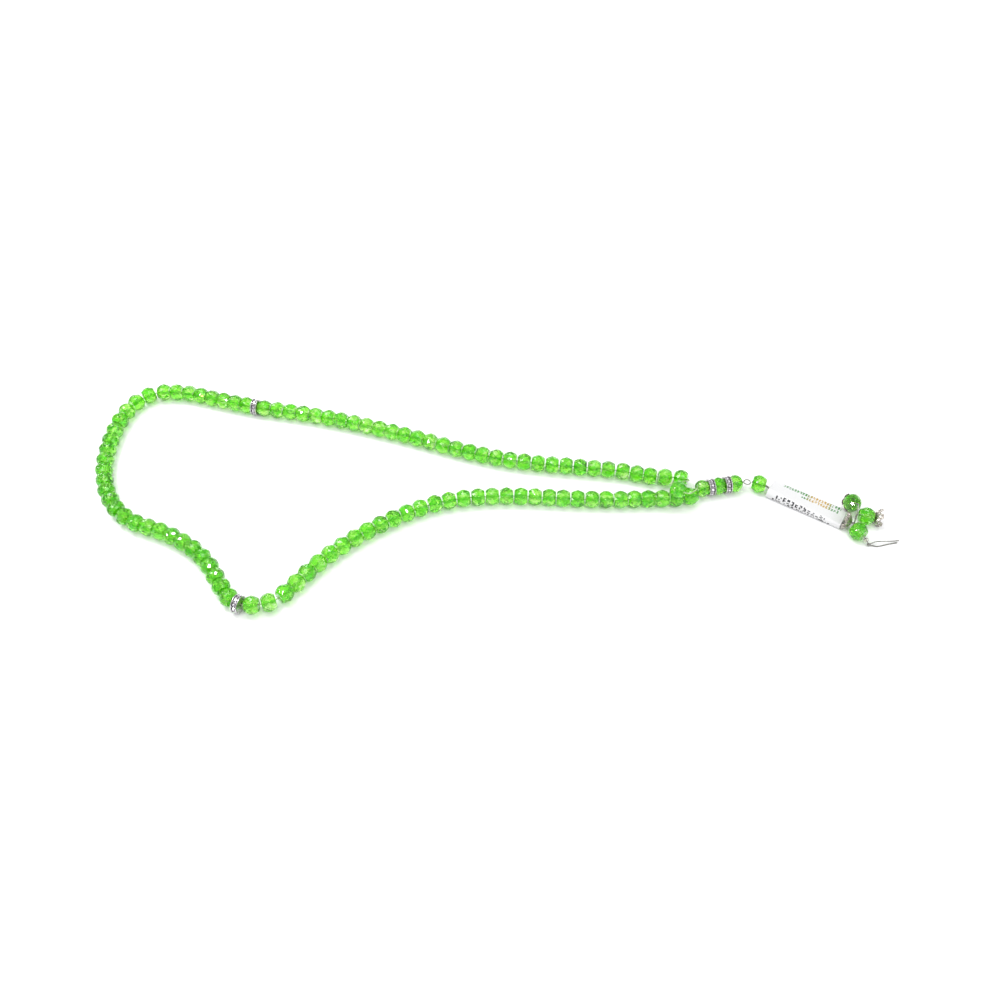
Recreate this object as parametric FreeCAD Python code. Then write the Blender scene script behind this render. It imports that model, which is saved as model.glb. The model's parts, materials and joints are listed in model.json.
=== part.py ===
import FreeCAD, Part
import math
import os

from FreeCAD import Placement, Rotation, Vector

# A string of 99 faceted crystal prayer beads in three groups of 33, with two
# rhinestone spacers, a leader of three flatter beads, and a pendant that holds a
# folded paper label and three end drops. Millimetres, +Z up, lying on Z = 0.
# The origin is at the middle of the whole string, on the table.

# ---- driving dimensions ----
BEAD_RADIUS = 4.0
BEAD_LENGTH = 5.8
LEADER_BEAD_LENGTH = 4.8
BORE_RADIUS = 0.6
THREAD_RADIUS = 0.25
SPACER_RADIUS = 3.9
SPACER_LENGTH = 2.8
CAP_RADIUS = 4.2
CAP_DEPTH = 3.2
LABEL_LENGTH = 34.0
LABEL_WIDTH = 12.5
PAPER = 0.15

# ---- counts ----
GROUP_COUNT = 33
END_COUNT = 5  # beads of a strand that lie fixed beside the leader
FACETS = 12
STONE_COUNT = 10
PETAL_COUNT = 6

# ---- sizes that follow ----
AXIS_HEIGHT = BEAD_RADIUS
STRAND_OFFSET = 1.12 * THREAD_RADIUS  # two strands side by side in one bore
KNOT_RING = 1.9 * THREAD_RADIUS
KNOT_RADIUS = KNOT_RING + THREAD_RADIUS
FIXED_END = KNOT_RADIUS + 0.03  # from a knot's middle to a thread's end on it
FREE_END = KNOT_RADIUS + 0.2  # the same where the thread swings on the knot
NEXT_TO_SPACER = (BEAD_LENGTH + SPACER_LENGTH) / 2 + 0.12
HINGE_SLACK = 0.25  # added to a gap between beads where the strand is hinged
LEADER_GAP = 0.06
HINGE_GAP = 0.03  # from a hinge of the loop to the thread's end on each side
PIVOT_GAP = 0.3  # from the eye's pivot to the ends of the strands there
SEED_RADIUS = 1.1
CORNER_SHARE = 0.45  # of the shorter run, taken by the arc at its end

# From the drawing's origin to the middle of the bounding box.
MIDDLE = Vector(0.0745, 0.077, 0)

# ---- the loop: from its hinge above the junction, round to the one below ----
LOOP_POINTS = [
    (65.1, 9.8), (61.0, 10.9), (43.0, 13.0), (24.5, 15.0), (6.5, 18.0),
    (-12.0, 23.5), (-31.0, 30.5), (-50.0, 36.8), (-69.5, 42.6), (-89.0, 47.2),
    (-108.5, 50.5), (-128.5, 55.8), (-147.0, 61.4), (-162.0, 61.0), (-170.0, 53.0),
    (-173.8, 41.0), (-174.8, 27.0), (-173.6, 12.4), (-168.6, -2.0), (-160.8, -13.0),
    (-151.6, -19.4), (-142.0, -22.4), (-132.6, -26.8), (-122.8, -33.2),
    (-114.6, -42.0), (-110.0, -49.8), (-106.2, -55.6), (-101.8, -59.8),
    (-97.2, -61.5), (-86.8, -60.3), (-81.0, -55.0), (-75.2, -47.0), (-68.0, -38.2),
    (-59.5, -30.2), (-49.0, -22.2), (-37.0, -14.8), (-24.3, -8.8), (-11.0, -5.2),
    (6.5, -3.8), (24.2, -4.5), (42.0, -5.8), (58.0, -6.1), (62.8, -5.9),
]
SPACER_1_PLACE = (-110.6, 50.9, 4.0)
SPACER_2_PLACE = (-99.9, -60.4, 4.0)
BOTTOM_SECOND_PLACE = (-87.3, -60.4, 4.0)

# ---- the leader ----
LEADER_MOUTH = Vector(94.3, 0, AXIS_HEIGHT)
LEADER_ANGLE = 10.6
LEADER_RUN_IN = 1.3  # from the last bend of each strand to the leader's mouth

# ---- the strands' ends, from the loop's hinges to the leader ----
# The last bead of the upper strand lies on top of the lower strand's last two.
TOP_END_POINTS = [
    (65.1, 9.8, 4.0), (77.4, 6.9, 4.1), (84.3, 7.1, 3.9), (92.5, 4.3, 5.1),
    (79.8, -3.3, 11.8), (88.1, -9.7, 11.8), (94.1, -2.2, 7.0),
]
TOP_END_BEADS = [
    (68.2, 9.0, 4), (74.0, 7.5, 4), (80.7, 7.0, 4), (87.8, 5.8, 4.5), (84.1, -6.6, 11.8),
]
BOTTOM_END_POINTS = [
    (62.8, -5.9, 4.0), (81.4, -5.4, 4.0), (87.5, -5.0, 4.0), (93.9, -3.3, 4.0),
]
BOTTOM_END_BEADS = [
    (65.9, -5.8, 4), (72.0, -5.6, 4), (78.1, -5.5, 4), (84.3, -5.2, 4), (90.75, -4.1, 4),
]
END_CORNER_SHARE = 0.3

# ---- the pendant ----
EYE_LENGTH = 4.25
EYE_ANGLE = 6.0
EYE_BULGE = 1.4
PENDANT_BEAD_PLACE = 3.5  # from the eye's pivot
PENDANT_BEAD_ANGLE = -20.0
PENDANT_START = Vector(119.35, 4.7, 0)  # where the pendant's own line begins
PENDANT_ANGLE = -31.0
LABEL_PLACE = 8.3
LABEL_ROLL_START = 2.4  # radius of the label's rolled edge beside the bead
LABEL_ROLL_END = 1.3
LABEL_SHIFT_START = -0.6  # from the thread to the middle of the roll
LABEL_SHIFT_END = -1.9
CAP_AXIS_HEIGHT = 4.1
CAP_BACK_PLACE = 46.0
HUB_PLACE = 47.0

# ---- the three end drops ----
HIGH_BEAD = Vector(161.2, -8.8, 5.2)
HIGH_TILT = 45.0
SIDE_BEAD = Vector(166.1, -15.3, 4.1)
SIDE_ANGLE = -10.0
TAIL_BEAD = Vector(160.7, -23.7, AXIS_HEIGHT)
TAIL_ANGLE = -57.0
HIGH_CAP_PLACE = 4.9  # from a bead's middle to the cap's back
HIGH_KNOT_PLACE = 5.75
SIDE_CAP_PLACE = 3.05
SIDE_KNOT_PLACE = 4.2
END_KNOT = Vector(164.9, -28.3, 0.85)


def direction(degrees):
    """The level unit vector at an angle from +X."""
    angle = math.radians(degrees)
    return Vector(math.cos(angle), math.sin(angle), 0)


def level(points):
    """Points on the height of the beads' bores."""
    return [Vector(x, y, AXIS_HEIGHT) for x, y in points]


class Run:
    """A straight stretch of a route."""

    turn = 0.0

    def __init__(self, start, end):
        self.start = start
        self.length = (end - start).Length
        self.heading = (end - start).normalize()

    def at(self, distance):
        return self.start + self.heading * distance, self.heading

    def edge(self, low, high):
        return Part.LineSegment(self.at(low)[0], self.at(high)[0]).toShape()


class Bend:
    """An arc that joins two runs."""

    def __init__(self, start, into, out, radius, turn):
        side = (out - into * into.dot(out)).normalize()
        self.centre = start + side * radius
        self.side = side
        self.into = into
        self.radius = radius
        self.turn = turn
        self.length = radius * turn

    def at(self, distance):
        angle = distance / self.radius
        across = self.side * math.cos(angle)
        along = self.into * math.sin(angle)
        heading = self.into * math.cos(angle) + self.side * math.sin(angle)
        return self.centre + (along - across) * self.radius, heading

    def edge(self, low, high):
        spots = [self.at(x)[0] for x in (low, (low + high) / 2, high)]
        return Part.Arc(*spots).toShape()


class Route:
    """Straight runs joined by tangent arcs, measured by the distance along it."""

    def __init__(self, points, share=CORNER_SHARE):
        self.pieces = []
        start = points[0]
        for before, corner, after in zip(points, points[1:], points[2:]):
            trim = share * min((corner - before).Length, (after - corner).Length)
            into = (corner - before).normalize()
            out = (after - corner).normalize()
            turn = into.getAngle(out)
            bend = Bend(corner - into * trim, into, out, trim / math.tan(turn / 2), turn)
            self.pieces += [Run(start, corner - into * trim), bend]
            start = corner + out * trim
        self.pieces.append(Run(start, points[-1]))
        self.length = sum(piece.length for piece in self.pieces)

    def at(self, distance):
        """The point and heading at a distance from the start."""
        for piece in self.pieces:
            if distance <= piece.length:
                return piece.at(distance)
            distance -= piece.length
        return piece.at(piece.length)

    def turned(self, distance):
        """How far the route has turned up to a distance, in radians."""
        total = 0.0
        for piece in self.pieces:
            total += piece.turn * min(1.0, distance / piece.length)
            distance -= piece.length
            if distance <= 0:
                break
        return total

    def nearest(self, place, step=0.05):
        """The distance at which the route comes nearest to a place."""
        spot = Vector(*place)
        steps = range(int(self.length / step))
        return step * min(steps, key=lambda n: (self.at(n * step)[0] - spot).Length)

    def tightest(self):
        return min(piece.radius for piece in self.pieces if piece.turn)

    def tube(self, low=0.0, high=None, radius=THREAD_RADIUS):
        """The thread along a stretch of the route."""
        high = self.length if high is None else high
        edges = []
        begun = 0.0
        for piece in self.pieces:
            first = max(low - begun, 0.0)
            last = min(high - begun, piece.length)
            if last - first > 0.001:
                edges.append(piece.edge(first, last))
            begun += piece.length
        start, heading = self.at(low)
        outline = Part.Wire([Part.makeCircle(radius, start, heading)])
        path = Part.Wire(edges)
        tube = path.makePipeShell([outline], True, False)
        wanted = math.pi * radius**2 * path.Length
        if abs(tube.Volume / wanted - 1) > 0.01:
            raise ValueError("a thread's volume is not its section times its length")
        return tube


def placed(shape, middle, heading, roll=0.0):
    """A copy of a shape made along +X, moved to a point and a heading."""
    turn = Rotation(Vector(1, 0, 0), heading) * Rotation(Vector(1, 0, 0), roll)
    copy = shape.copy()
    copy.Placement = Placement(middle, turn)
    return copy


def corner_ring(count, radius, place, shift):
    """The corners of one ring of a cut stone, round the X axis."""
    angles = [2 * math.pi * (k + shift) / count for k in range(count)]
    return [Vector(place, radius * math.cos(a), radius * math.sin(a)) for a in angles]


def closed_solid(outlines):
    faces = [Part.Face(Part.makePolygon(corners + corners[:1])) for corners in outlines]
    solid = Part.Solid(Part.Shell(faces))
    if solid.Volume < 0:
        solid.reverse()
    return solid


def bead_rings(length):
    """Place and radius of each ring of corners on one half of a bead.

    The two outer radii are what keeps every four and five sided facet flat."""
    half_step = math.cos(math.pi / FACETS)
    first, second, end = 0.2 * length, 0.35 * length, 0.5 * length
    first_radius = 0.93 * BEAD_RADIUS
    fall = (BEAD_RADIUS - first_radius * half_step) / first
    second_radius = BEAD_RADIUS - fall * second
    fall = (first_radius - second_radius * half_step) / (second - first)
    end_radius = second_radius - fall * (end - second) / half_step
    return (first, first_radius), (second, second_radius), (end, end_radius)


FLAT_RADIUS = bead_rings(BEAD_LENGTH)[2][1]


def faceted_bead(length):
    """A rondelle along X: rows of flat facets, two flat ends and a round bore."""
    (first, first_radius), (second, second_radius), (end, end_radius) = bead_rings(length)
    equator = corner_ring(FACETS, BEAD_RADIUS, 0, 0.5)
    outlines = []
    for side in (1, -1):
        low = corner_ring(FACETS, first_radius, side * first, 0)
        high = corner_ring(FACETS, second_radius, side * second, 0.5)
        flat = corner_ring(FACETS, end_radius, side * end, 0.5)
        outlines.append(flat)
        for k in range(FACETS):
            after = (k + 1) % FACETS
            outlines.append([equator[k - 1], equator[k], low[k]])
            outlines.append([equator[k], low[k], high[k], low[after]])
            outlines.append([low[k], high[k - 1], flat[k - 1], flat[k], high[k]])
    bore = Part.makeCylinder(BORE_RADIUS, 2 * length, Vector(-length, 0, 0), Vector(1, 0, 0))
    return closed_solid(outlines).cut(bore).Solids[0]


def turned_solid(outline):
    """A solid turned about X from an outline of edges or (place, radius) corners."""
    if isinstance(outline[0], tuple):
        corners = [Vector(x, r, 0) for x, r in outline]
        outline = Part.makePolygon(corners + corners[:1]).Edges
    face = Part.Face(Part.Wire(outline))
    return face.revolve(Vector(0, 0, 0), Vector(1, 0, 0), 360).Solids[0]


def spacer_ring():
    """A metal spool: a core between two rims, with a prong between each two stones."""
    end, inner = SPACER_LENGTH / 2, SPACER_LENGTH / 2 - 0.45
    edge, core = 0.15, 2.0
    half = [
        (inner, core), (inner, SPACER_RADIUS - edge), (inner + edge, SPACER_RADIUS),
        (end - edge, SPACER_RADIUS), (end, SPACER_RADIUS - edge), (end, BORE_RADIUS + 0.1),
    ]
    ring = turned_solid([(-x, r) for x, r in reversed(half)] + half)
    for k in range(STONE_COUNT):
        angle = 2 * math.pi * (k + 0.5) / STONE_COUNT
        foot = Vector(-inner - 0.1, 3.5 * math.cos(angle), 3.5 * math.sin(angle))
        prong = Part.makeCylinder(0.16, 2 * inner + 0.2, foot, Vector(1, 0, 0))
        ring = ring.fuse(prong)
    return ring.Solids[0]


def spacer_stones():
    """The set stones: eight-sided, pointed inwards and flat outwards."""
    sides, culet, girdle, table = 8, 2.1, 3.1, 3.62
    wide = corner_ring(sides, 0.84, girdle, 0.5)
    narrow = corner_ring(sides, 0.52, table, 0.5)
    outlines = [narrow]
    for k in range(sides):
        outlines.append([Vector(culet, 0, 0), wide[k - 1], wide[k]])
        outlines.append([wide[k - 1], wide[k], narrow[k], narrow[k - 1]])
    stone = closed_solid(outlines)
    stones = []
    for k in range(STONE_COUNT):
        angle = 2 * math.pi * k / STONE_COUNT
        outward = Vector(0, math.cos(angle), math.sin(angle))
        stones.append(placed(stone, Vector(0, 0, 0), outward))
    return Part.makeCompound(stones)


def flower_cap():
    """A pressed metal cup with petals, its back at X = 0 and its rim at +X."""
    wall = 0.3
    back, rim = Vector(0, 0.95, 0), Vector(CAP_DEPTH, CAP_RADIUS, 0)
    inner_rim = Vector(CAP_DEPTH + 0.05, CAP_RADIUS - wall, 0)
    inner_back = Vector(wall, 0.85, 0)
    bore_in, bore_out = Vector(wall, BORE_RADIUS, 0), Vector(0, BORE_RADIUS, 0)
    outline = [
        Part.LineSegment(bore_out, back).toShape(),
        Part.Arc(back, Vector(1.15, 2.8, 0), rim).toShape(),
        Part.LineSegment(rim, inner_rim).toShape(),
        Part.Arc(inner_rim, Vector(1.42, 2.6, 0), inner_back).toShape(),
        Part.LineSegment(inner_back, bore_in).toShape(),
        Part.LineSegment(bore_in, bore_out).toShape(),
    ]
    cap = turned_solid(outline)
    for k in range(PETAL_COUNT):
        between = 2 * math.pi * (k + 0.5) / PETAL_COUNT
        foot = Vector(1.2, 4.5 * math.cos(between), 4.5 * math.sin(between))
        cap = cap.cut(Part.makeCylinder(1.2, CAP_DEPTH, foot, Vector(1, 0, 0)))
        middle = 2 * math.pi * k / PETAL_COUNT
        outward = Vector(0, math.cos(middle), math.sin(middle))
        cap = cap.cut(Part.makeCylinder(0.45, 3, Vector(1.9, 0, 0) + outward * 2, outward))
    return cap.Solids[0]


def knot():
    """A small ball of thread: three rings of it across each other."""
    rings = [
        Part.makeTorus(KNOT_RING, THREAD_RADIUS, Vector(0, 0, 0), axis)
        for axis in (Vector(1, 0, 0), Vector(0.3, 1, 0), Vector(0, 0.3, 1))
    ]
    ball = Part.makeSphere(KNOT_RING)
    for ring in rings:
        ball = ball.fuse(ring)
    return ball.Solids[0]


def seed_bead():
    """A small round glass bead with a bore for two strands."""
    half = 0.75
    rounding = [
        Part.LineSegment(Vector(-half, BORE_RADIUS, 0), Vector(half, BORE_RADIUS, 0)),
        Part.Arc(Vector(half, BORE_RADIUS, 0), Vector(0, SEED_RADIUS, 0),
                 Vector(-half, BORE_RADIUS, 0)),
    ]
    return turned_solid([curve.toShape() for curve in rounding])


def spaced(route, first, last, count, hinged=()):
    """Distances along the route of beads whose nearest rims are all as far apart.

    Each number in hinged is that of a bead with extra room before it."""

    def reach(distance):
        return distance - FLAT_RADIUS * route.turned(distance)

    step = (reach(last) - reach(first) - len(hinged) * HINGE_SLACK) / (count - 1)
    if step < BEAD_LENGTH + 0.02:
        raise ValueError(f"{count} beads do not fit: step {step:.3f}")
    places = [first]
    wanted = reach(first)
    for number in range(1, count):
        wanted += step + (HINGE_SLACK if number in hinged else 0)
        low, high = places[-1], last + 1
        while high - low > 0.0001:
            middle = (low + high) / 2
            if reach(middle) < wanted:
                low = middle
            else:
                high = middle
        places.append(low)
    return places


def further(route, place, distance):
    """A place whose bead has its rim a distance on from that at another place."""
    goal = place + distance
    while abs(missing := distance - (goal - place)
              + FLAT_RADIUS * (route.turned(goal) - route.turned(place))) > 0.001:
        goal += missing
    return goal


def seated(route, place):
    """The middle and heading of a bead whose straight bore holds the bent thread."""
    half = BEAD_LENGTH / 2
    start, end = route.at(place - half)[0], route.at(place + half)[0]
    middle = (start + end) / 2
    return (middle + route.at(place)[0]) / 2, (end - start).normalize()


def beads_along(route, places, first_number=0):
    """A bead at each place, each with a turn of its own about the thread."""
    return [
        placed(BEAD, *seated(route, place), roll=(first_number + n) * 37 % 30)
        for n, place in enumerate(places)
    ]


def between(places, number):
    """The middle of the gap before a bead."""
    return (places[number - 1] + places[number]) / 2


BEAD = faceted_bead(BEAD_LENGTH)
LEADER_BEAD = faceted_bead(LEADER_BEAD_LENGTH)
KNOT = knot()
CAP = flower_cap()
SPACER_RING = spacer_ring()
SPACER_STONES = spacer_stones()


def add_spacer(nodes, name, middle, heading, roll):
    nodes[name + "_ring"] = [placed(SPACER_RING, middle, heading, roll)]
    moved = SPACER_STONES.copy()
    turn = Rotation(Vector(1, 0, 0), heading) * Rotation(Vector(1, 0, 0), roll)
    moved.transformShape(Placement(middle, turn).toMatrix())
    nodes[name + "_stones"] = moved.Solids


def loop_layout():
    """The loop's route, the places of its pieces, and its hinges."""
    route = Route(level(LOOP_POINTS))
    spacer_1 = route.nearest(SPACER_1_PLACE)
    spacer_2 = route.nearest(SPACER_2_PLACE)
    from_hinge = (BEAD_LENGTH + HINGE_SLACK + 0.1) / 2
    count = GROUP_COUNT - END_COUNT
    top = spaced(route, from_hinge, further(route, spacer_1, -NEXT_TO_SPACER), count, (14,))
    middle = spaced(route, further(route, spacer_1, NEXT_TO_SPACER + HINGE_SLACK),
                    further(route, spacer_2, -NEXT_TO_SPACER), GROUP_COUNT, (11, 22))
    bottom = spaced(route, route.nearest(BOTTOM_SECOND_PLACE),
                    route.length - from_hinge, count - 1, (13,))
    return {
        "route": route, "spacer_1": spacer_1, "spacer_2": spacer_2,
        "top": top, "middle": middle, "bottom": bottom,
        "slider": further(route, spacer_2, NEXT_TO_SPACER),
        "hinges": {
            "top_end": 0.0,
            "top_far": between(top, 14),
            "left_top": spacer_1 + SPACER_LENGTH / 2 + 0.2,
            "left_side": between(middle, 11),
            "left_bottom": between(middle, 22),
            "open": bottom[0] - BEAD_LENGTH / 2 + 0.4,
            "bottom_near": between(bottom, 13),
            "bottom_end": route.length,
        },
    }


def add_loop(nodes):
    layout = loop_layout()
    route, hinges = layout["route"], layout["hinges"]
    top, middle, bottom = layout["top"], layout["middle"], layout["bottom"]
    stretches = [
        ("top_near", top[:14], "top_end", "top_far"),
        ("top_far", top[14:], "top_far", "left_top"),
        ("left_top", middle[:11], "left_top", "left_side"),
        ("left_side", middle[11:22], "left_side", "left_bottom"),
        ("left_bottom", middle[22:], "left_bottom", "open"),
        ("bottom_far", bottom[:13], "open", "bottom_near"),
        ("bottom_near", bottom[13:], "bottom_near", "bottom_end"),
    ]
    for number, (name, places, start, end) in enumerate(stretches):
        nodes["beads_" + name] = beads_along(route, places, 7 * number)
        begin = hinges[start] + (0.6 if start == "open" else HINGE_GAP)
        nodes["thread_" + name] = [route.tube(begin, hinges[end] - HINGE_GAP)]
    nodes["slider_bead"] = beads_along(route, [layout["slider"]])
    add_spacer(nodes, "spacer_1", *route.at(layout["spacer_1"]), roll=8)
    add_spacer(nodes, "spacer_2", *route.at(layout["spacer_2"]), roll=26)
    print("loop: length", round(route.length, 1), "tightest", round(route.tightest(), 1))
    for group in (top, middle, bottom):
        print("  beads", len(group), "pitch", round((group[-1] - group[0]) / (len(group) - 1), 3))


def leader_end(side):
    """A strand's last corner, before the leader's mouth, and its end in the knot."""
    along = direction(LEADER_ANGLE)
    across = direction(LEADER_ANGLE + 90) * (side * STRAND_OFFSET)
    return [
        LEADER_MOUTH - along * LEADER_RUN_IN + across,
        LEADER_MOUTH + along * leader_length() + across,
    ]


def leader_length():
    return 3 * LEADER_BEAD_LENGTH + 2 * SPACER_LENGTH + 4 * LEADER_GAP


def leader_knot():
    return LEADER_MOUTH + direction(LEADER_ANGLE) * (leader_length() + KNOT_RADIUS + 0.05)


def add_ends(nodes):
    """The five beads of each strand beside the leader, and the thread through it."""
    ends = [
        ("top", TOP_END_POINTS, TOP_END_BEADS, 1),
        ("bottom", BOTTOM_END_POINTS, BOTTOM_END_BEADS, -1),
    ]
    for name, points, beads, side in ends:
        corners = [Vector(*point) for point in points] + leader_end(side)
        route = Route(corners, END_CORNER_SHARE)
        places = [route.nearest(bead) for bead in beads]
        nodes[f"beads_{name}_end"] = beads_along(route, places, 3)
        nodes[f"thread_{name}_end"] = [route.tube(HINGE_GAP)]
        print(name, "end: tightest", round(route.tightest(), 2))


def add_leader(nodes):
    along = direction(LEADER_ANGLE)
    place = LEADER_BEAD_LENGTH / 2
    step = (LEADER_BEAD_LENGTH + SPACER_LENGTH) / 2 + LEADER_GAP
    for number in range(5):
        middle = LEADER_MOUTH + along * (place + number * step)
        if number % 2:
            add_spacer(nodes, f"spacer_{3 + number // 2}", middle, along, 11 * number)
        else:
            name = f"leader_bead_{1 + number // 2}"
            nodes[name] = [placed(LEADER_BEAD, middle, along, 9 * number)]
    nodes["leader_knot"] = [placed(KNOT, leader_knot(), along)]


def eye_pivot():
    return leader_knot() + direction(EYE_ANGLE) * EYE_LENGTH


def add_eye(nodes):
    """Two bare strands that spread and meet again between knot and pendant."""
    along, across = direction(EYE_ANGLE), direction(EYE_ANGLE + 90)
    near, far = FREE_END, EYE_LENGTH - 1.5 * PIVOT_GAP
    strands = []
    for side in (1, -1):
        offset = across * (side * STRAND_OFFSET)
        start = leader_knot() + along * near + offset
        end = leader_knot() + along * far + offset
        top = leader_knot() + along * ((near + far) / 2) + across * (side * EYE_BULGE)
        arc = Part.Arc(start, top, end)
        heading = Vector(*arc.tangent(arc.FirstParameter)[0])
        outline = Part.Wire([Part.makeCircle(THREAD_RADIUS, start, heading)])
        strands.append(Part.Wire([arc.toShape()]).makePipeShell([outline], True, False))
    nodes["eye_thread"] = strands


def pendant_bead():
    """The middle of the bead between the eye and the label."""
    return eye_pivot() + direction(PENDANT_BEAD_ANGLE) * PENDANT_BEAD_PLACE


def on_pendant(place, height=AXIS_HEIGHT, across=0.0):
    """A point of the label and what follows it, by its distance from their start."""
    point = PENDANT_START + direction(PENDANT_ANGLE) * place
    point += direction(PENDANT_ANGLE + 90) * across
    point.z = height
    return point


def label_section(place, roll, shift, inset):
    """A teardrop across the pendant: rolled at the near edge, flat at the far one."""
    radius = roll - inset
    far = LABEL_WIDTH - roll - (3.0 if inset else 0.0)
    top = 2 * roll - inset
    thin = 2 * PAPER if not inset else 2.4 * PAPER
    spots = {
        "far_low": on_pendant(place, inset, shift + far),
        "low": on_pendant(place, inset, shift),
        "near": on_pendant(place, roll, shift - radius),
        "high": on_pendant(place, top, shift),
        "far_high": on_pendant(place, thin, shift + far),
    }
    return Part.Wire([
        Part.LineSegment(spots["far_low"], spots["low"]).toShape(),
        Part.Arc(spots["low"], spots["near"], spots["high"]).toShape(),
        Part.LineSegment(spots["high"], spots["far_high"]).toShape(),
        Part.LineSegment(spots["far_high"], spots["far_low"]).toShape(),
    ])


def add_label(nodes):
    """A paper sticker folded over the thread, its two flaps stuck at the far edge."""
    ends = [
        (LABEL_PLACE, LABEL_ROLL_START, LABEL_SHIFT_START),
        (LABEL_PLACE + LABEL_LENGTH, LABEL_ROLL_END, LABEL_SHIFT_END),
    ]
    outer = Part.makeLoft([label_section(*end, 0) for end in ends], True, True)
    inner = Part.makeLoft([label_section(*end, PAPER) for end in ends], True, True)
    nodes["paper_label"] = [outer.cut(inner).Solids[0]]


def add_pendant(nodes):
    along = direction(PENDANT_ANGLE)
    before = direction(PENDANT_BEAD_ANGLE)
    nodes["pendant_bead"] = [placed(BEAD, pendant_bead(), before, 12)]
    hub = on_pendant(HUB_PLACE, CAP_AXIS_HEIGHT)
    nodes["pendant_knot"] = [placed(KNOT, hub, along)]
    nodes["pendant_cap"] = [
        placed(CAP, on_pendant(CAP_BACK_PLACE, CAP_AXIS_HEIGHT), along * -1)
    ]
    strands = []
    for side in (1, -1):
        offset = direction(PENDANT_BEAD_ANGLE + 90) * (side * STRAND_OFFSET)
        corners = [
            eye_pivot() + before * PIVOT_GAP + offset,
            pendant_bead() + before * 3.4 + offset,
        ]
        profile = [
            (LABEL_PLACE + 3, 1.9), (LABEL_PLACE + LABEL_LENGTH - 5, 1.0),
            (LABEL_PLACE + LABEL_LENGTH, 1.3), (CAP_BACK_PLACE - 1.0, CAP_AXIS_HEIGHT),
            (HUB_PLACE - FIXED_END, CAP_AXIS_HEIGHT),
        ]
        corners += [on_pendant(u, z, side * STRAND_OFFSET) for u, z in profile]
        route = Route(corners, 0.3)
        strands.append(route.tube())
    nodes["pendant_thread"] = strands
    print("pendant thread: length", round(route.length, 1), "tightest", round(route.tightest(), 2))
    add_label(nodes)


def add_high_drop(nodes):
    """A bead that leans on its flower cap, hole up, strung from above."""
    tilt = math.radians(HIGH_TILT)
    up = Vector(0, -math.cos(tilt), math.sin(tilt))
    hub = on_pendant(HUB_PLACE, CAP_AXIS_HEIGHT)
    nodes["high_bead"] = [placed(BEAD, HIGH_BEAD, up, 5)]
    nodes["high_cap"] = [placed(CAP, HIGH_BEAD - up * HIGH_CAP_PLACE, up, 14)]
    nodes["high_knot"] = [placed(KNOT, HIGH_BEAD - up * HIGH_KNOT_PLACE, up)]
    start = hub + Vector(0.15, 0.2, 1).normalize() * FREE_END
    route = Route([
        start, hub + Vector(0.4, 1.2, 4.2), HIGH_BEAD + up * 6.4 + Vector(0, -0.3, 1.0),
        HIGH_BEAD + up * 4.0, HIGH_BEAD - up * (HIGH_KNOT_PLACE - FIXED_END),
    ])
    nodes["high_thread"] = [route.tube()]
    print("high drop: length", round(route.length, 1), "tightest", round(route.tightest(), 2))


def add_side_drop(nodes):
    """A bead with its flower cap turned outwards, the stop knot inside the flower."""
    along = direction(SIDE_ANGLE)
    hub = on_pendant(HUB_PLACE, CAP_AXIS_HEIGHT)
    nodes["side_bead"] = [placed(BEAD, SIDE_BEAD, along, 20)]
    nodes["side_cap"] = [placed(CAP, SIDE_BEAD + along * SIDE_CAP_PLACE, along)]
    nodes["side_knot"] = [placed(KNOT, SIDE_BEAD + along * SIDE_KNOT_PLACE, along)]
    start = hub + Vector(0.6, 0.8, 0).normalize() * FREE_END
    route = Route([
        start, hub + Vector(1.3, 3.2, 0.1), SIDE_BEAD - along * 4.4,
        SIDE_BEAD + along * (SIDE_KNOT_PLACE - FIXED_END),
    ])
    nodes["side_thread"] = [route.tube()]
    print("side drop: length", round(route.length, 1), "tightest", round(route.tightest(), 2))


def add_tail_drop(nodes):
    """The drop with a seed bead, the end knot and the two cut thread ends."""
    along = direction(TAIL_ANGLE)
    hub = on_pendant(HUB_PLACE, CAP_AXIS_HEIGHT)
    leave = TAIL_BEAD + along * (BEAD_LENGTH / 2 + 0.5)
    down = (END_KNOT - leave).normalize()
    nodes["tail_bead"] = [placed(BEAD, TAIL_BEAD, along, 2)]
    nodes["seed_bead"] = [placed(seed_bead(), leave + down * 1.75, down)]
    nodes["end_knot"] = [placed(KNOT, END_KNOT, down)]
    start = hub + Vector(0.1, -1, 0).normalize() * FREE_END
    route = Route([start, TAIL_BEAD - along * 3.6, leave, END_KNOT - down * FIXED_END], 0.3)
    nodes["tail_thread"] = [route.tube()]
    upper = Route([
        END_KNOT + Vector(0.95, 0.3, 0.16).normalize() * FIXED_END, Vector(168.4, -27.1, 1.5),
        Vector(172.2, -26.9, 1.3), Vector(175.4, -26.5, 0.8), Vector(178.6, -26.0, 0.6),
    ])
    lower = Route([
        END_KNOT + Vector(0.9, -0.3, -0.25).normalize() * FIXED_END, Vector(168.6, -29.1, 0.32),
        Vector(172.2, -28.1, 0.3), Vector(175.2, -27.4, 0.3), Vector(177.6, -27.0, 0.4),
    ])
    nodes["thread_tails"] = [upper.tube(), lower.tube()]
    print("tails: length", round(upper.length, 1), round(lower.length, 1),
          "tightest", round(min(upper.tightest(), lower.tightest()), 2))


def build():
    nodes = {}
    add_loop(nodes)
    add_ends(nodes)
    add_leader(nodes)
    add_eye(nodes)
    add_pendant(nodes)
    add_high_drop(nodes)
    add_side_drop(nodes)
    add_tail_drop(nodes)
    return nodes


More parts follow.
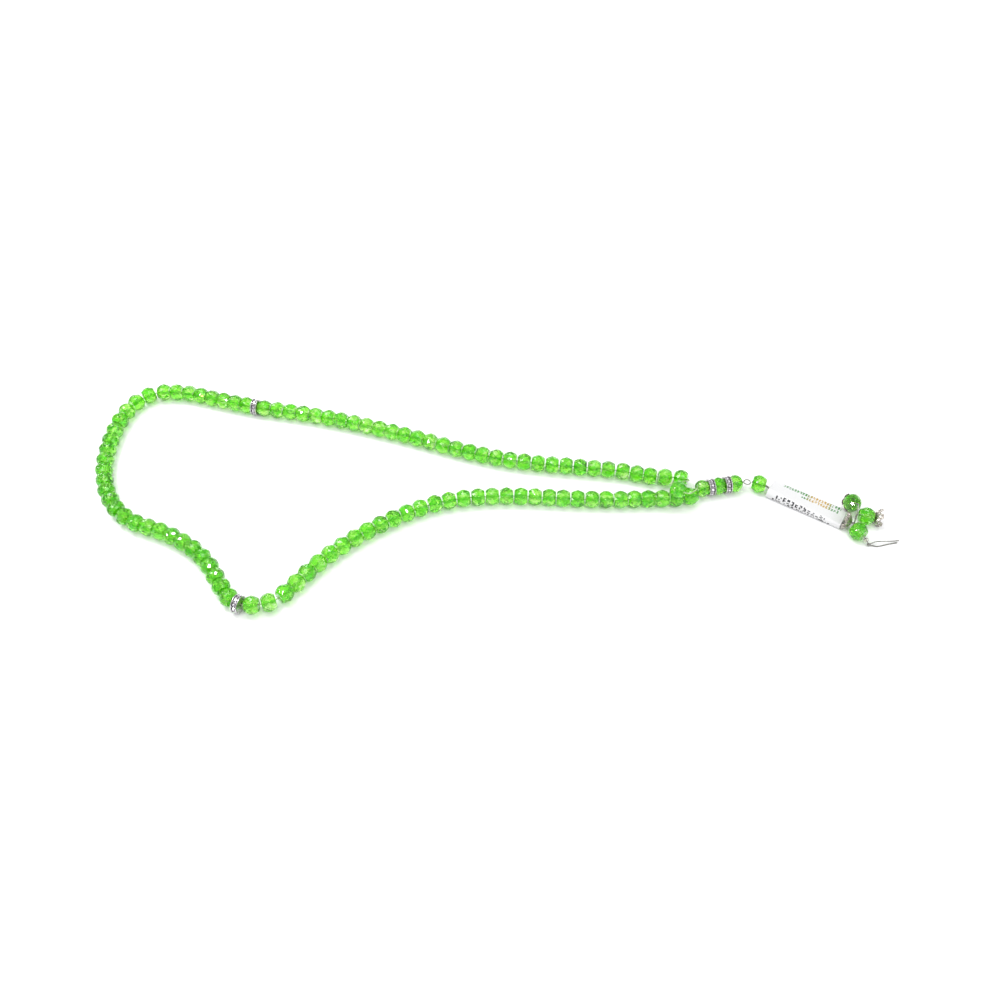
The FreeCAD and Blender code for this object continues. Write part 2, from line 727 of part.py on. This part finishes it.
def write(nodes):
    os.makedirs("parts", exist_ok=True)
    box = FreeCAD.BoundBox()
    for name, solids in nodes.items():
        shape = Part.makeCompound(solids) if len(solids) > 1 else solids[0]
        shape.translate(MIDDLE * -1)
        shape.exportStep(f"parts/{name}.step")
        box.add(shape.optimalBoundingBox(False))
    print(len(nodes), "nodes")
    print("box", box)


if __name__ == "__main__":
    write(build())
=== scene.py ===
import json
import math

import bpy
from mathutils import Matrix, Vector

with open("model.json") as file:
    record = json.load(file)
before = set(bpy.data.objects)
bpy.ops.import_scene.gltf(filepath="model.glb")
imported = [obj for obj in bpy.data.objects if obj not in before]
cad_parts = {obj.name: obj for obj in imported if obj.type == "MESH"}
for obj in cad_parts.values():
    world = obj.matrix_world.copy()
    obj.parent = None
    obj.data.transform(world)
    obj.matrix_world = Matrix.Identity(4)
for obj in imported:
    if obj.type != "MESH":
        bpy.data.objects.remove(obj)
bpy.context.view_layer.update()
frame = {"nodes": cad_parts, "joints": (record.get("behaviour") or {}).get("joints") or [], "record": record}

# A string of green crystal prayer beads laid out on a white table. The pieces are
# the CAD model's own; this file gives each its material, draws the print on the
# paper label, and sets the table, the light and the camera. Metres, +Z up.

MM = 0.001

# ---- camera ----
CAMERA_TARGET = Vector((0.0064, -0.0031, 0.0))
CAMERA_DISTANCE = 0.4291
CAMERA_ELEVATION = math.radians(51)
SENSOR_WIDTH = 36.0
LENS = 34.56

# ---- lights: name, place, width and depth, watts ----
LIGHTS = [
    ("key", (-0.5, 0.35, 0.8), (0.35, 0.35), 4.6),
    ("fill", (0.7, -0.5, 0.8), (0.6, 0.6), 1.8),
    ("overhead", (0.0, 0.2, 1.1), (0.7, 0.4), 3.6),
    ("sparkle_right", (0.15, -0.45, 0.75), (0.07, 0.07), 1.1),
    ("sparkle_left", (-0.35, -0.2, 0.8), (0.07, 0.07), 1.1),
]
WORLD_LIGHT = 0.68
TABLE_HALF_WIDTH = 3.0

# ---- colours, linear ----
TABLE_WHITE = (0.93, 0.93, 0.94)
CRYSTAL_DEEP = (0.06, 0.68, 0.002)
CRYSTAL_GREEN = (0.25, 0.93, 0.03)
CRYSTAL_LIME = (0.55, 0.98, 0.18)
CRYSTAL_PALE = (0.90, 1.0, 0.74)
CRYSTAL_HEART = (0.10, 0.62, 0.005)
# A painted pale light, laid on the crystal along its bore and where beads touch.
CRYSTAL_BORE_LIGHT = (0.92, 1.0, 0.80)
SEED_CLEAR = (0.90, 0.90, 0.84)
SEED_FROST = (0.74, 0.72, 0.62)
SILVER = (0.78, 0.77, 0.80)
SILVER_DULL = (0.36, 0.33, 0.32)
# The spacers' painted shade in their gaps.
SILVER_GAP_SHADE = (0.035, 0.028, 0.025)
# Painted flash, grey and dark looks for the foil-backed stones.
STONE_BRIGHT = (0.93, 0.89, 0.96)
STONE_GREY = (0.42, 0.38, 0.46)
STONE_DARK = (0.06, 0.045, 0.06)
OLD_SILVER = (0.70, 0.67, 0.62)
OLD_SILVER_DULL = (0.42, 0.37, 0.32)
# Dark patina in the caps' grooves, and the caps' painted shade in their gaps.
TARNISH_AND_GAP_SHADE = (0.10, 0.07, 0.05)
THREAD_CLEAR = (0.34, 0.34, 0.30)
THREAD_DULL = (0.16, 0.16, 0.14)
# Painted light: the bright green of the beads' glow, laid on the loop's clear line.
THREAD_BRIGHT = (0.56, 0.72, 0.38)
THREAD_SOFT = (0.40, 0.54, 0.26)
PAPER_WHITE = (0.70, 0.70, 0.705)
PAPER_SHADE = (0.63, 0.63, 0.64)
INK_BLACK = (0.015, 0.015, 0.02)
INK_GREEN = (0.02, 0.20, 0.02)
INK_GOLD = (0.45, 0.27, 0.01)

# ---- surface detail: the scales of clouds, scratches and the like are per metre ----
# A facet's shade adds up a share of its own, which is painted light and shade (lit facets pale, shaded ones
# deep), one of its bead's and one of the clouds'.
# HEART_SHARE is how much of the solid green body is mixed into the clear glass.
CRYSTAL_IOR = 1.55
CRYSTAL_CLOUDS = 210
CRYSTAL_SCRATCHES = 1500
FACET_SIZE = 1.6 * MM
FACET_TILT = 0.24
FACET_LIGHT_SHARE = 0.7
BEAD_SHARE = 0.2
CLOUD_SHARE = 0.2
BORE_LIGHT_REACH = 1.0 * MM
HEART_SHARE = 0.16
SEED_STREAKS = 900
SPACER_CLOUDS = 1100
SPACER_GAP = 0.9 * MM
CAP_CLOUDS = 800
CAP_GAP = 1.4 * MM
CAP_RIDGES = 30
STONE_CLOUDS = 1400
THREAD_SCUFFS = 700
PAPER_FIBRES = 2600
PAPER_CREASES = 120
CREASE_HEIGHT = 6.0

# ---- the label and its print ----
# The label lies at this angle, rolled along its near side: a roll that narrows from
# its left end to its right. Rows on the flat flap run from and to millimetres along
# from the left end, and across from the near side; those round the roll have
# degrees round it instead, from its foremost line upwards. Last, a mark's width.
# A mark is a block of cells, with its last column left as the gap before the next;
# the bare shares are how many of the cells, or bars, stay without ink.
LABEL_ANGLE = math.radians(-31)
LABEL_LENGTH = 34.0
ROLL_LEFT = 2.4
ROLL_RIGHT = 1.3
SMALL_ROW_1 = (5.0, 31.5, 9.9, 12.0, 1.25)
SMALL_ROW_2 = (14.0, 31.0, 7.2, 9.3, 1.25)
LARGE_ROW = (4.4, 27.0, 14.0, 72.0, 1.9)
BARS = (3.0, 29.5, -42.0, 3.0)
BAR_WIDTH = 0.34
MARK_COLUMNS = 3
MARK_LINES = 4
SMALL_PRINT_BARE = 0.3
LARGE_PRINT_BARE = 0.42
BARS_BARE = 0.5


# ---- node helpers ----

def new_material(name):
    """A material with an empty node tree."""
    material = bpy.data.materials.new(name)
    material.use_nodes = True
    material.node_tree.nodes.clear()
    return material


def add(material, kind, **settings):
    node = material.node_tree.nodes.new(kind)
    for key, value in settings.items():
        setattr(node, key, value)
    return node


def link(material, source, target):
    material.node_tree.links.new(source, target)


def put(node, **values):
    """Set input sockets by name, with _ for a space."""
    for key, value in values.items():
        node.inputs[key.replace("_", " ")].default_value = value


def surface(material, shader):
    output = add(material, "ShaderNodeOutputMaterial")
    link(material, shader.outputs[0], output.inputs["Surface"])


def calc(material, operation, *values):
    """One step of arithmetic on sockets and plain numbers."""
    node = add(material, "ShaderNodeMath", operation=operation)
    for socket, value in zip(node.inputs, values):
        if isinstance(value, (int, float)):
            socket.default_value = value
        else:
            link(material, value, socket)
    return node.outputs[0]


def object_place(material):
    return add(material, "ShaderNodeTexCoord").outputs["Object"]


def noise(material, scale, detail=3.0, roughness=0.5):
    """Noise in the object's own space, so it stays with the piece."""
    node = add(material, "ShaderNodeTexNoise")
    put(node, Scale=scale, Detail=detail, Roughness=roughness)
    link(material, object_place(material), node.inputs["Vector"])
    return node.outputs["Fac"]


def each_solid(material):
    """A number from 0 to 1, different for every bead or stone of a group."""
    return add(material, "ShaderNodeNewGeometry").outputs["Random Per Island"]


def ramp(material, source, stops):
    """A colour ramp from (place, colour or grey) stops."""
    node = add(material, "ShaderNodeValToRGB")
    band = node.color_ramp
    while len(band.elements) < len(stops):
        band.elements.new(0.5)
    for element, (place, colour) in zip(band.elements, stops):
        element.position = place
        element.color = (*colour, 1) if isinstance(colour, tuple) else (colour,) * 3 + (1,)
    link(material, source, node.inputs["Fac"])
    return node.outputs["Color"]


def mix(material, share, first, second):
    """first where share is 0, second where it is 1; each a socket or a colour."""
    node = add(material, "ShaderNodeMix", data_type="RGBA")
    link(material, share, node.inputs["Factor"])
    colour_inputs = [socket for socket in node.inputs if socket.type == "RGBA"]
    for socket, value in zip(colour_inputs, (first, second)):
        if isinstance(value, tuple):
            socket.default_value = (*value, 1)
        else:
            link(material, value, socket)
    return next(socket for socket in node.outputs if socket.type == "RGBA")


def bump(material, shader, height, distance, strength=0.5):
    node = add(material, "ShaderNodeBump")
    put(node, Strength=strength, Distance=distance)
    link(material, height, node.inputs["Height"])
    link(material, node.outputs["Normal"], shader.inputs["Normal"])


def crevices(material, distance):
    """0 in the open, towards 1 where surfaces meet closer than the distance."""
    node = add(material, "ShaderNodeAmbientOcclusion", samples=8)
    put(node, Distance=distance)
    return calc(material, "SUBTRACT", 1.0, node.outputs["AO"])


# ---- materials ----

def facet_normal(material, facet_colour):
    """The surface's normal, leaned a little its own way on each small facet."""
    lean = add(material, "ShaderNodeVectorMath", operation="MULTIPLY_ADD")
    link(material, facet_colour, lean.inputs[0])
    lean.inputs[1].default_value = (2 * FACET_TILT,) * 3
    lean.inputs[2].default_value = (-FACET_TILT,) * 3
    turned = add(material, "ShaderNodeVectorTransform", vector_type="VECTOR",
                 convert_from="OBJECT", convert_to="WORLD")
    link(material, lean.outputs[0], turned.inputs[0])
    total = add(material, "ShaderNodeVectorMath", operation="ADD")
    link(material, add(material, "ShaderNodeNewGeometry").outputs["Normal"], total.inputs[0])
    link(material, turned.outputs[0], total.inputs[1])
    unit = add(material, "ShaderNodeVectorMath", operation="NORMALIZE")
    link(material, total.outputs[0], unit.inputs[0])
    return unit.outputs[0]


def crystal():
    """Lime-green cut crystal: clear and bright, no two beads quite the same shade,
    with small facets painted lit and shaded at random, a deeper green body, a painted
    pale light along the bore and where beads touch, and a polish that has a few scratches."""
    material = new_material("green_crystal")
    cloud = noise(material, CRYSTAL_CLOUDS, 2)
    facet = add(material, "ShaderNodeTexVoronoi")
    put(facet, Scale=1 / FACET_SIZE)
    link(material, object_place(material), facet.inputs["Vector"])
    split = add(material, "ShaderNodeSeparateColor")
    link(material, facet.outputs["Color"], split.inputs[0])
    # Painted light and shade: each small facet gets its own shade at random, standing in for facets that
    # catch the light or lie in shade.
    shade = calc(material, "MULTIPLY_ADD", split.outputs[0], FACET_LIGHT_SHARE,
                 calc(material, "MULTIPLY", each_solid(material), BEAD_SHARE))
    shade = calc(material, "MULTIPLY_ADD", cloud, CLOUD_SHARE, shade)
    # The pale end of this ramp is a painted highlight on the lightest facets.
    tint = ramp(material, shade, [
        (0.22, CRYSTAL_DEEP), (0.52, CRYSTAL_GREEN), (0.76, CRYSTAL_LIME), (0.97, CRYSTAL_PALE),
    ])
    # Painted light: paler where surfaces meet closely, a pale band along the bore and where beads touch.
    bore = ramp(material, crevices(material, BORE_LIGHT_REACH), [(0.35, 0.0), (0.8, 1.0)])
    tint = mix(material, bore, tint, CRYSTAL_BORE_LIGHT)
    cut = facet_normal(material, facet.outputs["Color"])
    scratches = noise(material, CRYSTAL_SCRATCHES, 5, 0.7)
    glass = add(material, "ShaderNodeBsdfPrincipled")
    put(glass, IOR=CRYSTAL_IOR, Transmission_Weight=1.0)
    link(material, tint, glass.inputs["Base Color"])
    link(material, cut, glass.inputs["Normal"])
    link(material, ramp(material, scratches, [(0.5, 0.012), (0.8, 0.09)]),
         glass.inputs["Roughness"])
    heart = add(material, "ShaderNodeBsdfPrincipled")
    put(heart, Roughness=0.12, IOR=1.5, Specular_IOR_Level=0.3)
    link(material, ramp(material, cloud, [(0.35, CRYSTAL_HEART), (0.7, CRYSTAL_GREEN)]),
         heart.inputs["Base Color"])
    link(material, cut, heart.inputs["Normal"])
    both = add(material, "ShaderNodeMixShader")
    both.inputs["Fac"].default_value = HEART_SHARE
    link(material, glass.outputs[0], both.inputs[1])
    link(material, heart.outputs[0], both.inputs[2])
    surface(material, both)
    return material


def seed_glass():
    """The small clear bead: pressed glass, cloudy in streaks."""
    material = new_material("seed_glass")
    streaks = noise(material, SEED_STREAKS, 4)
    glass = add(material, "ShaderNodeBsdfPrincipled")
    put(glass, IOR=1.5, Transmission_Weight=0.8)
    link(material, ramp(material, streaks, [(0.35, SEED_FROST), (0.65, SEED_CLEAR)]),
         glass.inputs["Base Color"])
    link(material, ramp(material, streaks, [(0.4, 0.28), (0.7, 0.06)]),
         glass.inputs["Roughness"])
    bump(material, glass, streaks, 0.05 * MM)
    surface(material, glass)
    return material


def worn_metal(name, bright, dull, black, cloud_scale, gap):
    """Plated metal: bright where it is rubbed, dull in clouds, and black in the gaps, a painted shade where
    surfaces meet closely.
    Returns the material, its shader and the cloud pattern."""
    material = new_material(name)
    clouds = noise(material, cloud_scale, 5, 0.65)
    colour = ramp(material, clouds, [(0.36, dull), (0.58, bright)])
    # Painted shade: black where surfaces meet closely, in a piece's own seams and against the beads beside
    # it, patchy with the clouds.
    gap_shade = calc(material, "MULTIPLY", crevices(material, gap), 1.25)
    patchy = ramp(material, clouds, [(0.3, 1.0), (0.75, 0.55)])
    patchy_gap_shade = calc(material, "MULTIPLY", gap_shade, patchy)
    shader = add(material, "ShaderNodeBsdfPrincipled")
    put(shader, Metallic=1.0)
    link(material, mix(material, patchy_gap_shade, colour, black), shader.inputs["Base Color"])
    link(material, ramp(material, clouds, [(0.35, 0.42), (0.65, 0.16)]),
         shader.inputs["Roughness"])
    surface(material, shader)
    return material, shader, clouds


def spacer_metal():
    """Silver-plated rings, with the plating worn, and painted shade black in the seams."""
    material, shader, clouds = worn_metal(
        "spacer_metal", SILVER, SILVER_DULL, SILVER_GAP_SHADE, SPACER_CLOUDS, SPACER_GAP)
    bump(material, shader, clouds, 0.04 * MM, 0.4)
    return material


def cap_metal(name, joint_name):
    """Antique silver flower cap: fine ridges run out along each petal from the
    cap's axis, which is its joint's, with tarnish between them."""
    joint = next(row for row in frame["joints"] if row["name"] == joint_name)
    axis = Vector(joint["axis"]).normalized()
    across = axis.orthogonal().normalized()
    up = axis.cross(across)
    material, shader, clouds = worn_metal(
        name, OLD_SILVER, OLD_SILVER_DULL, TARNISH_AND_GAP_SHADE, CAP_CLOUDS, CAP_GAP)
    arm = add(material, "ShaderNodeVectorMath", operation="SUBTRACT")
    link(material, object_place(material), arm.inputs[0])
    arm.inputs[1].default_value = joint["pos_m"]
    parts = []
    for direction in (across, up):
        dot = add(material, "ShaderNodeVectorMath", operation="DOT_PRODUCT")
        link(material, arm.outputs[0], dot.inputs[0])
        dot.inputs[1].default_value = direction
        parts.append(dot.outputs["Value"])
    angle = calc(material, "ARCTAN2", parts[1], parts[0])
    ridges = calc(material, "SINE", calc(material, "MULTIPLY", angle, CAP_RIDGES))
    height = calc(material, "MULTIPLY_ADD", clouds, 0.8, ridges)
    bump(material, shader, height, 0.12 * MM, 0.8)
    metal_colour = shader.inputs["Base Color"].links[0].from_socket
    grooves = ramp(material, calc(material, "MULTIPLY_ADD", ridges, 0.5, 0.5),
                   [(0.0, 0.6), (0.4, 0.0)])
    link(material, mix(material, grooves, metal_colour, TARNISH_AND_GAP_SHADE), shader.inputs["Base Color"])
    return material


def clear_stone():
    """Foil-backed clear stones: at random, some are painted with a lilac-white flash, some are painted dark.
    """
    material = new_material("clear_stone")
    own = each_solid(material)
    cloud = noise(material, STONE_CLOUDS, 2)
    # Painted highlight and painted shade: each stone's share picks a painted flash or a painted dark look.
    shade = calc(material, "MULTIPLY_ADD", cloud, 0.5, calc(material, "MULTIPLY", own, 0.75))
    stone = add(material, "ShaderNodeBsdfPrincipled")
    put(stone, Metallic=0.45, IOR=1.6, Coat_Weight=1.0, Coat_Roughness=0.02)
    link(material, ramp(material, shade, [
        (0.38, STONE_DARK), (0.55, STONE_GREY), (0.66, STONE_BRIGHT),
    ]), stone.inputs["Base Color"])
    link(material, ramp(material, cloud, [(0.4, 0.05), (0.7, 0.2)]), stone.inputs["Roughness"])
    surface(material, stone)
    return material


def clear_thread(name, clear, dull):
    """Clear nylon line, scuffed along its length."""
    material = new_material(name)
    scuffs = noise(material, THREAD_SCUFFS, 5, 0.7)
    line = add(material, "ShaderNodeBsdfPrincipled")
    put(line, IOR=1.53, Transmission_Weight=0.35, Coat_Weight=0.4, Coat_Roughness=0.05)
    link(material, ramp(material, scuffs, [(0.38, dull), (0.6, clear)]),
         line.inputs["Base Color"])
    link(material, ramp(material, scuffs, [(0.4, 0.16), (0.7, 0.4)]), line.inputs["Roughness"])
    bump(material, line, scuffs, 0.04 * MM, 0.6)
    surface(material, line)
    return material


def within(material, value, low, high):
    """1 between low and high, else 0."""
    above = calc(material, "GREATER_THAN", value, low)
    below = calc(material, "LESS_THAN", value, high)
    return calc(material, "MULTIPLY", above, below)


def marks(material, along, across, row, seed, bare):
    """A row of small block marks that look like print only from afar: every cell of
    a mark is inked or left bare by chance."""
    start, end, low, high, width = row
    box = calc(material, "MULTIPLY", within(material, along, start, end),
               within(material, across, low, high))
    column = calc(material, "MULTIPLY", along, MARK_COLUMNS / width)
    in_mark = calc(material, "LESS_THAN", calc(material, "MODULO", column, MARK_COLUMNS),
                   MARK_COLUMNS - 1)
    line = calc(material, "MULTIPLY", calc(material, "SUBTRACT", across, low),
                MARK_LINES / (high - low))
    cell = add(material, "ShaderNodeCombineXYZ")
    link(material, calc(material, "FLOOR", column), cell.inputs["X"])
    link(material, calc(material, "FLOOR", line), cell.inputs["Y"])
    cell.inputs["Z"].default_value = seed
    chance = add(material, "ShaderNodeTexWhiteNoise", noise_dimensions="3D")
    link(material, cell.outputs[0], chance.inputs["Vector"])
    inked = calc(material, "GREATER_THAN", chance.outputs["Value"], bare)
    return calc(material, "MULTIPLY", calc(material, "MULTIPLY", box, in_mark), inked)


def bars(material, along, across):
    """A strip of upright bars, each inked or left bare by chance."""
    start, end, low, high = BARS
    box = calc(material, "MULTIPLY", within(material, along, start, end),
               within(material, across, low, high))
    chance = add(material, "ShaderNodeTexWhiteNoise", noise_dimensions="1D")
    link(material, calc(material, "FLOOR", calc(material, "DIVIDE", along, BAR_WIDTH)),
         chance.inputs["W"])
    return calc(material, "MULTIPLY", box,
                calc(material, "GREATER_THAN", chance.outputs["Value"], BARS_BARE))


def label_paper():
    """Thin glossy label stock with faint fibres, creased, and a generic print."""
    turn = Matrix.Rotation(LABEL_ANGLE, 3, "Z")
    points = [vertex.co @ turn for vertex in frame["nodes"]["paper_label"].data.vertices]
    left = min(point.x for point in points)
    near = min(point.y for point in points)
    material = new_material("label_paper")
    own = add(material, "ShaderNodeMapping", vector_type="TEXTURE")
    link(material, object_place(material), own.inputs["Vector"])
    own.inputs["Location"].default_value = turn @ Vector((left, near, 0))
    own.inputs["Rotation"].default_value = (0, 0, LABEL_ANGLE)
    own.inputs["Scale"].default_value = (MM, MM, MM)
    split = add(material, "ShaderNodeSeparateXYZ")
    link(material, own.outputs[0], split.inputs[0])
    along, across = split.outputs["X"], split.outputs["Y"]
    roll = calc(material, "MULTIPLY_ADD", along,
                (ROLL_RIGHT - ROLL_LEFT) / LABEL_LENGTH, ROLL_LEFT)
    above = calc(material, "SUBTRACT", split.outputs["Z"], roll)
    in_front = calc(material, "SUBTRACT", roll, across)
    degrees = calc(material, "DEGREES", calc(material, "ARCTAN2", above, in_front))

    fibres = noise(material, PAPER_FIBRES, 6, 0.7)
    creases = noise(material, PAPER_CREASES, 2)
    paper = ramp(material, fibres, [(0.3, PAPER_SHADE), (0.6, PAPER_WHITE)])
    small = calc(
        material, "MAXIMUM",
        marks(material, along, across, SMALL_ROW_1, 1.0, SMALL_PRINT_BARE),
        marks(material, along, across, SMALL_ROW_2, 2.0, SMALL_PRINT_BARE))
    large = calc(
        material, "MAXIMUM",
        marks(material, along, degrees, LARGE_ROW, 3.0, LARGE_PRINT_BARE),
        bars(material, along, degrees))
    colours = ramp(material, calc(material, "DIVIDE", along, LABEL_LENGTH), [
        (0.45, INK_GREEN), (0.55, INK_GOLD), (0.74, INK_GOLD), (0.82, INK_GREEN),
    ])
    printed = mix(material, small, paper, colours)
    printed = mix(material, large, printed, INK_BLACK)

    shader = add(material, "ShaderNodeBsdfPrincipled")
    put(shader, IOR=1.48, Coat_Weight=0.25, Coat_Roughness=0.12)
    link(material, printed, shader.inputs["Base Color"])
    link(material, ramp(material, fibres, [(0.3, 0.5), (0.7, 0.3)]), shader.inputs["Roughness"])
    height = calc(material, "MULTIPLY_ADD", creases, CREASE_HEIGHT, fibres)
    bump(material, shader, height, 0.08 * MM, 0.5)
    surface(material, shader)
    return material


def table_top():
    material = new_material("white_table")
    matt = add(material, "ShaderNodeBsdfPrincipled")
    put(matt, Base_Color=(*TABLE_WHITE, 1), Roughness=0.7)
    surface(material, matt)
    return material


def dress():
    """Give each CAD piece the material of its slot in the record. Each flower cap has
    its own, because the ridges follow its axis, and the loop's clear line is painted
    the bright green of the light through the beads, where the bare line of the pendant is grey."""
    materials = {
        "green_crystal": crystal(),
        "seed_glass": seed_glass(),
        "spacer_metal": spacer_metal(),
        "clear_stone": clear_stone(),
        "clear_thread": clear_thread("clear_thread", THREAD_CLEAR, THREAD_DULL),
        "label_paper": label_paper(),
    }
    # Painted light: the loop's clear line is painted bright green, the glow of the beads it runs through.
    loop_thread = clear_thread("loop_thread", THREAD_BRIGHT, THREAD_SOFT)
    for row in frame["record"]["subparts"]:
        node, slot = row["node"], row["material_slot"]
        if slot == "flower_cap_metal":
            material = cap_metal(node, node + "_spin")
        elif node.startswith("thread_") and node != "thread_tails":
            material = loop_thread
        else:
            material = materials[slot]
        piece = frame["nodes"][node]
        piece.data.materials.clear()
        piece.data.materials.append(material)


# ---- the studio ----

def floor():
    half = TABLE_HALF_WIDTH
    mesh = bpy.data.meshes.new("table")
    corners = [(-half, -half, 0), (half, -half, 0), (half, half, 0), (-half, half, 0)]
    mesh.from_pydata(corners, [], [(0, 1, 2, 3)])
    top = bpy.data.objects.new("table", mesh)
    bpy.context.scene.collection.objects.link(top)
    top.data.materials.append(table_top())


def area_light(name, place, size, watts):
    data = bpy.data.lights.new(name, "AREA")
    data.shape = "RECTANGLE"
    data.size, data.size_y = size
    data.energy = watts
    lamp = bpy.data.objects.new(name, data)
    bpy.context.scene.collection.objects.link(lamp)
    lamp.location = place
    lamp.rotation_mode = "QUATERNION"
    lamp.rotation_quaternion = (-Vector(place)).to_track_quat("-Z", "Y")


def lights():
    for row in LIGHTS:
        area_light(*row)
    world = bpy.data.worlds.new("studio")
    bpy.context.scene.world = world
    world.use_nodes = True
    background = world.node_tree.nodes["Background"]
    background.inputs["Color"].default_value = (1, 1, 1, 1)
    background.inputs["Strength"].default_value = WORLD_LIGHT
    bpy.context.scene.view_settings.view_transform = "Standard"


def camera():
    data = bpy.data.cameras.new("camera")
    data.sensor_width = SENSOR_WIDTH
    data.lens = LENS
    data.clip_start, data.clip_end = 0.01, 20
    eye = bpy.data.objects.new("camera", data)
    bpy.context.scene.collection.objects.link(eye)
    back = Vector((0, -math.cos(CAMERA_ELEVATION), math.sin(CAMERA_ELEVATION)))
    eye.location = CAMERA_TARGET + back * CAMERA_DISTANCE
    eye.rotation_mode = "QUATERNION"
    eye.rotation_quaternion = (-back).to_track_quat("-Z", "Y")
    bpy.context.scene.camera = eye


dress()
floor()
lights()
camera()
